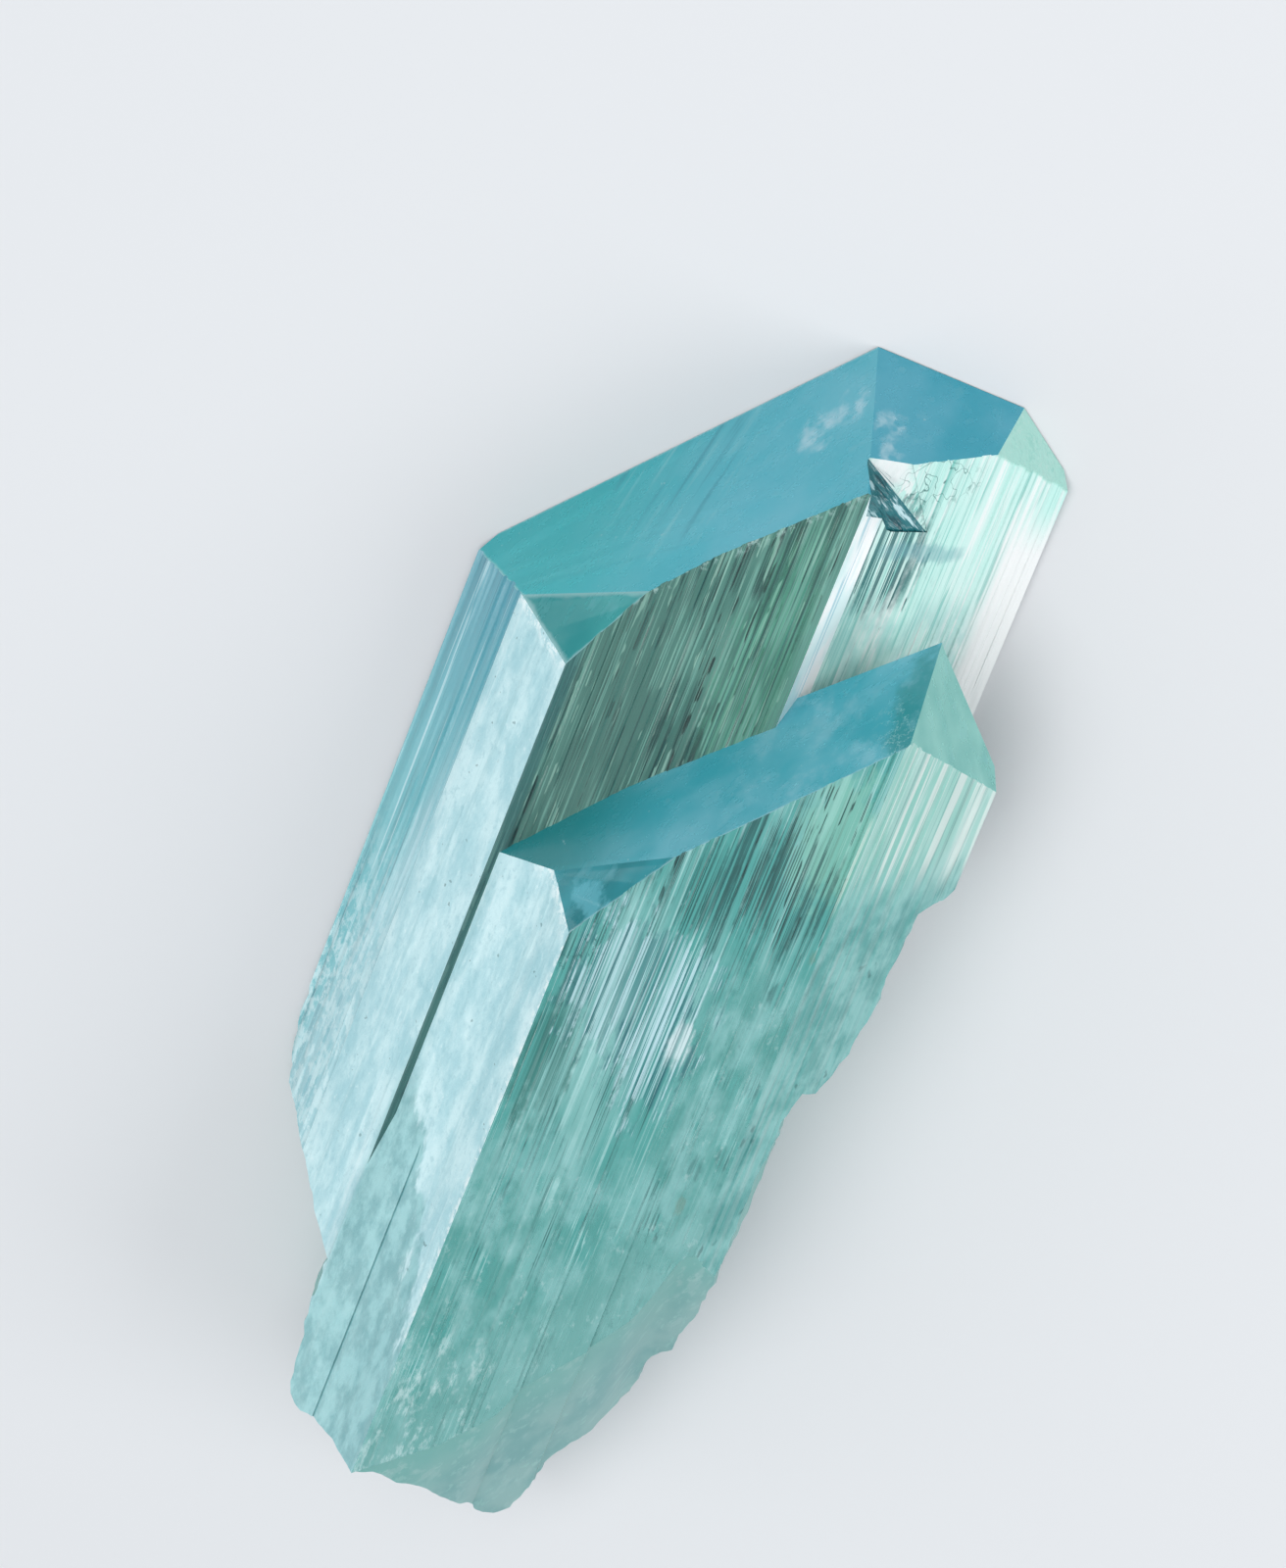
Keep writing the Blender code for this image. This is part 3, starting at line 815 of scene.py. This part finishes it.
def lined_finish(name, groups, settings, colours, transmission, density, fine):
    """A see-through face with coarse and fine growth lines, from its own, a dark and a light colour."""
    base, dark, light = [tint(*colour) for colour in colours]
    f = Finish(name, groups, settings, 0.14, transmission)
    n = f.n
    f.streak = f.use("streaks", Density=density)
    f.fine = f.use("streaks", Density=density * 2.3)
    broad = f.grain((0.45, 0.07, 0.45), 3.0, 0.6)
    other = tuple(0.5 * (a + b) for a, b in zip(base, light))
    f.colour_value = n.mix(n.range(broad, 0.42, 0.66), base, other)
    for streak, amount in ((f.streak, 0.75), (f.fine, fine)):
        f.paint(streak.outputs["Dark"], amount, dark)
        f.paint(streak.outputs["Light"], amount, light)
    f.roughness(n.range(f.streak.outputs["Relief"], 0.35, 0.65, 0.08, 0.24))
    f.bump(f.streak.outputs["Relief"], 0.1, 0.8)
    return f


def front_finish(groups, settings):
    """The lined front: grey-green, partly painted shade, with thin dark dashes and green stripes, and painted
    highlights along its upper rim and its edge with the silky side.
    """
    # Partly painted shade: these are the face's own grey-greens, deepened as if dark surroundings showed
    # through it.
    colours = (78, 142, 130), (0, 70, 70), (150, 216, 200)
    f = lined_finish("front", groups, settings, colours, 0.5, 4.4, 0.85)
    n = f.n
    f.paint(f.streak.outputs["Dash"], 0.9, tint(0, 44, 46))
    f.paint(f.use("streaks", Density=3.1).outputs["Dash"], 0.8, tint(176, 232, 214))
    stripes = n.range(f.fine.outputs["Relief"], 0.44, 0.52)
    f.paint(n.times(f.patch((0.2, 9.0, 6.8), (2.0, 9.0, 2.0), 0.4), stripes), 0.5, tint(104, 200, 166))
    f.paint(f.patch((-4.8, 6.0, 6.5), (2.6, 9.0, 2.0), 0.5), 0.3, tint(112, 160, 150))
    rough = f.grain((2.4, 1.6, 2.4), 4.0, 0.7)
    # Painted highlight: a rough pale line along the edge with the large end face.
    rim_highlight = f.edges([end_plane(MAIN_END["broad"])], 0.32)
    f.paint(n.times(rim_highlight, n.range(rough, 0.52, 0.6)), 0.85, tint(196, 238, 232))
    # Painted highlight: a thin pale line along the edge with the silky side.
    f.paint(f.edges([side_plane(FRONT_LEFT, LEFT_BEND)], 0.1), 0.6, tint(190, 232, 228))
    f.paint(f.across(-6.3, -6.6), 0.7, tint(46, 122, 124))
    return f.done()


def right_finish(groups, settings):
    """The pale right side, partly painted light: scratched and cracked near the chip, with a painted white
    highlight along its edge, another beside the chip and a thin one along the corner face.
    """
    # Partly painted light: the side's own pale mint is kept nearly white, as if light shone through its thin
    # edge.
    colours = (206, 250, 242), (118, 200, 190), (255, 255, 255)
    f = lined_finish("right_side", groups, settings, colours, 0.25, 3.4, 0.5)
    n = f.n
    relief = f.fine.outputs["Relief"]
    mottle = f.grain((1.4, 0.6, 1.4), 4.0, 0.6)
    f.paint(n.times(f.along(13.5, 11.5), n.range(mottle, 0.4, 0.6)), 0.5, tint(160, 222, 218))
    scratched = n.times(f.patch((3.4, 14.0, 4.4), (2.6, 5.0, 2.8), 0.4), f.streak.outputs["Dash"])
    f.paint(scratched, 0.9, tint(30, 96, 98))
    dark = n.times(f.patch((3.3, 14.6, 4.4), (2.1, 3.4, 2.4), 0.35), n.range(relief, 0.48, 0.52))
    f.paint(dark, 0.9, tint(36, 108, 110))
    f.paint(f.patch((4.6, 15.0, 4.0), (2.4, 0.6, 3.0), 0.5), 0.5, tint(112, 170, 180))
    # Painted highlight: a white band along the right edge below the head.
    highlight_band = f.across(7.1, 7.8)
    f.paint(n.times(highlight_band, f.along(17.8, 15.0)), 0.95, tint(255, 255, 255))
    # Painted highlight: a white patch beside the chip's upper end.
    f.paint(f.patch((2.0, 18.6, 4.8), (1.3, 1.1, 1.2), 0.2), 0.85, tint(252, 255, 255))
    below_chip = f.patch((4.0, 18.4, 4.0), (1.9, 1.7, 2.4), 0.2)
    for scale, seed in ((1.1, 0.0), (1.5, 7.0)):
        stretched = n.vector("MULTIPLY", f.place, (scale, scale * 0.7, scale))
        grain = n.noise(n.vector("ADD", stretched, (seed, seed, 0.0)), 1.0, 1.5)
        f.paint(n.times(f.hairlines(grain, 0.016), below_chip), 0.85, tint(52, 116, 112))
    # Painted highlight: a thin pale line along the edge with the corner face.
    distance = sum(a * b for a, b in zip(CORNER_POINT, CORNER_NORMAL))
    f.paint(f.edges([(CORNER_NORMAL, distance)], 0.1), 0.8, tint(168, 228, 214))
    return f.done()


def top_front_finish(groups, settings):
    """The smaller crystal's front: dark scratches below its head, then white streaks, a painted glint and
    milky veils, with painted light where it meets the worn slope.
    """
    colours = (84, 176, 170), (26, 94, 94), (184, 236, 234)
    f = lined_finish("top_front", groups, settings, colours, 0.35, 3.8, 0.8)
    n = f.n
    relief, hair = f.streak.outputs["Relief"], f.fine.outputs["Relief"]
    f.paint(f.patch((5.6, 5.6, 10.7), (2.2, 4.0, 2.0), 0.5), 0.6, tint(150, 216, 196))
    bright = n.times(f.patch((7.0, 4.4, 10.7), (1.4, 3.6, 2.0), 0.4), n.range(relief, 0.5, 0.56))
    f.paint(bright, 0.8, tint(226, 252, 242))
    dark = n.times(f.patch((4.4, 2.6, 10.7), (2.6, 3.8, 2.0), 0.5), n.range(hair, 0.48, 0.52))
    f.paint(dark, 0.8, tint(40, 92, 90))
    under = n.times(f.patch((1.4, 1.2, 10.7), (2.6, 2.6, 2.0), 0.5), n.range(hair, 0.48, 0.53))
    f.paint(under, 0.7, tint(34, 98, 96))
    f.paint(n.times(f.streak.outputs["Dash"], f.along(-2.0, 1.0)), 0.85, tint(10, 62, 62))
    mottle = f.grain((0.8, 0.4, 0.8), 5.0, 0.6)
    low = n.math("MAXIMUM", f.along(-8.0, -16.0), n.times(f.along(1.0, -3.5), f.across(2.6, 4.2)))
    veil = f.grain((0.91, 0.4095, 0.91), 4.0, 0.55)
    milky = n.mix(n.range(veil, 0.36, 0.66), tint(86, 168, 162), tint(144, 206, 204))
    covered = n.times(low, n.range(mottle, 0.3, 0.52))
    f.paint(covered, 0.85, milky)
    green = n.times(f.patch((-1.8, -8.6, 10.7), (1.7, 4.4, 2.0), 0.5), n.range(relief, 0.4, 0.56))
    f.paint(green, 0.75, tint(30, 116, 108))
    reach = n.times(n.math("SUBTRACT", relief, 0.5), 3.6)
    for centre, size in WHITE_STREAKS:
        zone = n.range(n.math("ADD", f.patch(centre, size, 0.6), reach), 0.3, 1.3)
        f.paint(n.times(zone, n.range(hair, 0.52, 0.46)), 0.6, tint(26, 110, 122))
        f.paint(n.times(zone, n.range(hair, 0.49, 0.54)), 0.95, tint(206, 244, 252))
    # Painted highlight: a glint on the smaller crystal's front.
    f.paint(n.times(f.patch(*GLINT), n.range(hair, 0.44, 0.5, 0.3, 1.0)), 0.95, tint(228, 252, 255))
    for centre in DARK_SPOTS:
        spot = f.patch(centre, DARK_SPOT_SIZE, 0.9)
        f.paint(n.times(spot, n.range(relief, 0.44, 0.54)), 0.6, tint(54, 118, 118))
    for centre in BROWN_SPOTS:
        f.paint(f.patch(centre, BROWN_SPOT_SIZE, 0.9), 0.35, tint(124, 138, 112))
    # Painted light: lightens the front where it meets the worn slope.
    f.paint(n.times(f.past_slope(9.5, 13.4), f.along(-10.0, -14.0)), 0.55, tint(132, 192, 188))
    dust = f.grain((2.6, 1.3, 2.6), 4.0, 0.7)
    f.paint(n.times(low, n.range(dust, 0.58, 0.72)), 0.35, tint(206, 240, 240))
    f.paint(n.times(low, n.range(dust, 0.42, 0.3)), 0.3, tint(52, 128, 128))
    wisps = f.grain((2.4, 0.7, 2.4), 5.0, 0.75)
    foot = n.times(f.along(-20.0, -25.0), f.across(2.0, 0.0))
    f.paint(n.times(foot, n.range(wisps, 0.5, 0.66)), 0.7, tint(212, 244, 244))
    cracks = f.hairlines(f.grain((1.0, 0.8, 1.0), 4.0, 0.65), 0.012)
    f.paint(n.times(cracks, f.patch((-2.4, -3.4, 10.7), (1.4, 2.2, 2.0), 0.3)), 0.8, tint(30, 96, 100))
    f.roughness(n.math("ADD", n.range(relief, 0.35, 0.65, 0.08, 0.24), n.times(covered, 0.16)))
    return f.done()


def top_right_finish(groups, settings):
    """The smaller crystal's right side: bright lines near its head, milky and spotted below."""
    colours = (150, 216, 204), (72, 148, 144), (226, 252, 248)
    f = lined_finish("top_right", groups, settings, colours, 0.35, 3.0, 0.5)
    n = f.n
    mottle = f.grain((0.9, 0.5, 0.9), 5.0, 0.6)
    milky = n.mix(n.range(mottle, 0.36, 0.62), tint(84, 168, 166), tint(140, 206, 204))
    f.paint(f.along(6.0, 1.5), 0.85, milky)
    bright = n.times(f.along(2.5, 5.0), n.range(f.streak.outputs["Relief"], 0.5, 0.55))
    f.paint(bright, 0.8, tint(240, 255, 250))
    spots = f.grain((1.1, 0.6, 1.1), 3.0, 0.6)
    f.paint(n.times(f.along(1.5, -1.0), n.range(spots, 0.62, 0.68)), 0.6, tint(48, 112, 112))
    return f.done()


def break_finish(name, groups, settings, first, second, transmission=0.45):
    """The broken end and the worn slope: milky and softly uneven, with painted light on the slope."""
    f = Finish(name, groups, settings, 0.3, transmission)
    n = f.n
    streak = f.use("streaks", Density=1.4)
    grain = f.grain((0.6, 0.3, 0.6), 4.0, 0.55)
    f.colour_value = n.mix(n.range(grain, 0.38, 0.62), first, second)
    if name == "break":
        # Partly painted light: a greener tone over the worn slope, kept light because the slope faces away
        # from the lights.
        f.paint(f.past_slope(16.5, 13.2), 0.8, tint(128, 206, 198))
        f.paint(f.use("streaks", Density=3.2).outputs["Light"], 0.5, tint(176, 228, 222))
    if name == "highlight_strip":
        f.paint(f.use("streaks", Density=3.4).outputs["Dark"], 0.7, tint(140, 196, 212))
    f.paint(streak.outputs["Light"], 0.35, tint(190, 228, 226))
    f.roughness(n.range(grain, 0.3, 0.7, 0.4, 0.55))
    f.bump(grain, 0.06, 0.3)
    return f.done()


def chip_finish(groups, settings):
    """The conchoidal chip: dark teal with a few bright slanting streaks."""
    f = Finish("chip", groups, settings, 0.12, 0.3)
    n = f.n
    steps = n.add("ShaderNodeCombineXYZ")
    n.link(n.vector("DOT_PRODUCT", f.place, (2.2, 3.4, -1.7)), steps.inputs[0])
    n.link(n.vector("DOT_PRODUCT", f.place, (0.4, -0.35, -0.2)), steps.inputs[1])
    wave = n.noise(steps.outputs[0], 1.0, 3.0, 0.6)
    f.colour_value = n.mix(n.range(wave, 0.54, 0.62), tint(40, 124, 132), tint(206, 242, 248))
    f.paint(n.range(wave, 0.46, 0.36), 1.0, tint(16, 84, 94))
    f.bump(wave, 0.1, 1.0)
    return f.done()


def make_finishes(settings):
    """The materials of the crystal, in the order of its material slots."""
    groups = {"place": place_group(), "streaks": streak_group(), "edge": edge_group(), "patch": patch_group()}
    # The planes along whose edges the end faces get painted highlights.
    far_left = [side_plane(LEFT_BEND, LEFT_EDGE), ((0.0, 0.0, 1.0), 0.0)]
    beside_small_end = [
        end_plane(MAIN_END["broad"]), side_plane(FRONT_LEFT, LEFT_BEND), side_plane(FRONT_DIP, FRONT_LEFT),
    ]
    top = [((0.0, 0.0, 1.0), TOP_Z)]
    end_faces = [
        ("end", (84, 192, 210), (108, 198, 216), far_left, (tip_wisps, slanting_lines)),
        ("small_end", (30, 150, 152), (62, 172, 172), beside_small_end, ()),
        ("top_end", (66, 180, 196), (108, 196, 212), top, (top_end_clouds,)),
        ("top_small_end", (8, 122, 130), (40, 156, 168), top, (pale_corner,)),
    ]
    return [
        *(
            end_finish(name, groups, settings, tint(*base), tint(*light), rims, marks)
            for name, base, light, rims, marks in end_faces
        ),
        silky_finish(groups, settings),
        ribbed_finish(groups, settings),
        front_finish(groups, settings),
        # Painted highlight: the narrow strip between the right side and the front, painted nearly white.
        break_finish("highlight_strip", groups, settings, tint(226, 248, 248), tint(255, 255, 255), 0.1),
        right_finish(groups, settings),
        top_front_finish(groups, settings),
        top_right_finish(groups, settings),
        end_finish("top_right_end", groups, settings, tint(112, 190, 182), tint(150, 216, 206)),
        end_finish(
            "right_end", groups, settings, tint(70, 178, 200), tint(98, 188, 210),
            marks=(tip_wisps,), shine=0.1,
        ),
        break_finish("break", groups, settings, tint(126, 190, 190), tint(160, 208, 206)),
        break_finish("back", groups, settings, tint(128, 184, 176), tint(160, 208, 200)),
        chip_finish(groups, settings),
    ]


# Add-on


class CrystalSettings(bpy.types.PropertyGroup):
    fineness: FloatProperty(
        name="Fineness", description="How fine the growth lines and the break are",
        default=1.0, min=0.4, max=2.0, subtype="FACTOR",
    )
    seed: IntProperty(name="Seed", description="Which pattern of growth lines is drawn", default=11)
    colour: FloatVectorProperty(
        name="Colour", description="Plain colour of the crystal in the viewport",
        size=3, subtype="COLOR", default=(0.25, 0.6, 0.6),
    )
    absorption_colour: FloatVectorProperty(
        name="Depth colour", description="Colour that light takes on through the crystal",
        size=3, subtype="COLOR", default=(0.05, 0.74, 0.7),
    )
    absorption_density: FloatProperty(
        name="Depth strength", description="How fast the colour deepens, per metre", default=75.0, min=0.0
    )


class StageSettings(bpy.types.PropertyGroup):
    floor_colour: FloatVectorProperty(
        name="Floor", description="Colour of the floor",
        size=3, subtype="COLOR", default=(0.62, 0.63, 0.645),
    )
    sky_strength: FloatProperty(
        name="Sky", description="Strength of the even light all round", default=0.6, min=0.0,
    )
    main_power: FloatProperty(
        name="Main light", description="Power of the large light above", default=0.66, unit="POWER",
    )
    left_power: FloatProperty(
        name="Left light", description="Power of the light low on the left", default=0.15, unit="POWER",
    )
    right_power: FloatProperty(
        name="Right light", description="Power of the light on the right", default=0.4, unit="POWER",
    )


class MESH_OT_kunzite_crystal(bpy.types.Operator):
    """Builds the crystal's finished surface in place of its plain solid"""

    bl_idname = "mesh.kunzite_crystal"
    bl_label = "Kunzite crystal"

    def execute(self, context):
        settings = context.scene.crystal_settings
        crystal = build_crystal(settings, make_finishes(settings))
        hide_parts(NODE)
        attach(crystal, "root")
        return {"FINISHED"}


def area_light(name, lamp, power):
    place, aim, size = lamp
    data = bpy.data.lights.new(name, "AREA")
    data.shape = "RECTANGLE"
    data.size, data.size_y = size[0] * MM, size[1] * MM
    data.energy = power
    light = bpy.data.objects.new(name, data)
    light.location = (Vector(place) + SHIFT) * MM
    light.rotation_euler = (Vector(aim) - Vector(place)).to_track_quat("-Z", "Y").to_euler()
    bpy.context.scene.collection.objects.link(light)


def make_floor(colour):
    mesh = bpy.data.meshes.new("floor")
    sheet = bmesh.new()
    bmesh.ops.create_grid(sheet, x_segments=1, y_segments=1, size=1.5)
    sheet.to_mesh(mesh)
    sheet.free()
    floor = bpy.data.objects.new("floor", mesh)
    floor.location.z = -0.05 * MM
    bpy.context.scene.collection.objects.link(floor)
    material = bpy.data.materials.new("floor")
    material.use_nodes = True
    shader = material.node_tree.nodes["Principled BSDF"]
    shader.inputs["Base Color"].default_value = (*colour, 1.0)
    shader.inputs["Roughness"].default_value = 0.75
    mesh.materials.append(material)


def make_sky(strength):
    world = bpy.data.worlds.new("studio")
    world.use_nodes = True
    background = world.node_tree.nodes["Background"]
    background.inputs["Color"].default_value = (0.92, 0.96, 1.0, 1.0)
    background.inputs["Strength"].default_value = strength
    bpy.context.scene.world = world


def make_camera():
    lean = Matrix.Rotation(CAMERA_LEAN, 3, "X")
    roll = Matrix.Rotation(-CAMERA_ROLL, 3, "Z")
    turn = (roll @ lean).transposed()
    data = bpy.data.cameras.new("camera")
    data.sensor_fit = "VERTICAL"
    data.sensor_height = 36.0
    data.lens = PX_PER_MM * CAMERA_DISTANCE_MM / PICTURE_HEIGHT_PX * data.sensor_height
    data.clip_start, data.clip_end = 0.01, 10.0
    data.shift_x, data.shift_y = CAMERA_SHIFT
    camera = bpy.data.objects.new("camera", data)
    aim = Vector(CAMERA_AIM) + SHIFT
    eye = (aim + turn @ Vector((0.0, 0.0, CAMERA_DISTANCE_MM))) * MM
    camera.matrix_world = Matrix.Translation(eye) @ turn.to_4x4()
    bpy.context.scene.collection.objects.link(camera)
    bpy.context.scene.camera = camera


class SCENE_OT_crystal_stage(bpy.types.Operator):
    """Adds the pale floor, the soft studio lights and the camera"""

    bl_idname = "scene.crystal_stage"
    bl_label = "Stage"

    def execute(self, context):
        settings = context.scene.crystal_stage_settings
        make_floor(settings.floor_colour)
        make_sky(settings.sky_strength)
        area_light("main_light", MAIN_LIGHT, settings.main_power)
        area_light("left_light", LEFT_LIGHT, settings.left_power)
        area_light("right_light", RIGHT_LIGHT, settings.right_power)
        make_camera()
        context.scene.view_settings.view_transform = "Standard"
        return {"FINISHED"}


class VIEW3D_PT_crystal(bpy.types.Panel):
    bl_idname = "VIEW3D_PT_crystal"
    bl_label = "Kunzite crystal"
    bl_space_type = "VIEW_3D"
    bl_region_type = "UI"
    bl_category = "Crystal"

    def draw(self, context):
        layout = self.layout
        crystal, stage = context.scene.crystal_settings, context.scene.crystal_stage_settings
        for name in ("fineness", "seed", "colour", "absorption_colour", "absorption_density"):
            layout.prop(crystal, name)
        layout.operator(MESH_OT_kunzite_crystal.bl_idname)
        for name in ("floor_colour", "sky_strength", "main_power", "left_power", "right_power"):
            layout.prop(stage, name)
        layout.operator(SCENE_OT_crystal_stage.bl_idname)


CLASSES = (CrystalSettings, StageSettings, MESH_OT_kunzite_crystal, SCENE_OT_crystal_stage, VIEW3D_PT_crystal)


def register():
    for item in CLASSES:
        bpy.utils.register_class(item)
    bpy.types.Scene.crystal_settings = PointerProperty(type=CrystalSettings)
    bpy.types.Scene.crystal_stage_settings = PointerProperty(type=StageSettings)


def unregister():
    del bpy.types.Scene.crystal_stage_settings
    del bpy.types.Scene.crystal_settings
    for item in reversed(CLASSES):
        bpy.utils.unregister_class(item)


def main():
    register()
    bpy.ops.mesh.kunzite_crystal()
    bpy.ops.scene.crystal_stage()


if __name__ == "__main__":
    main()
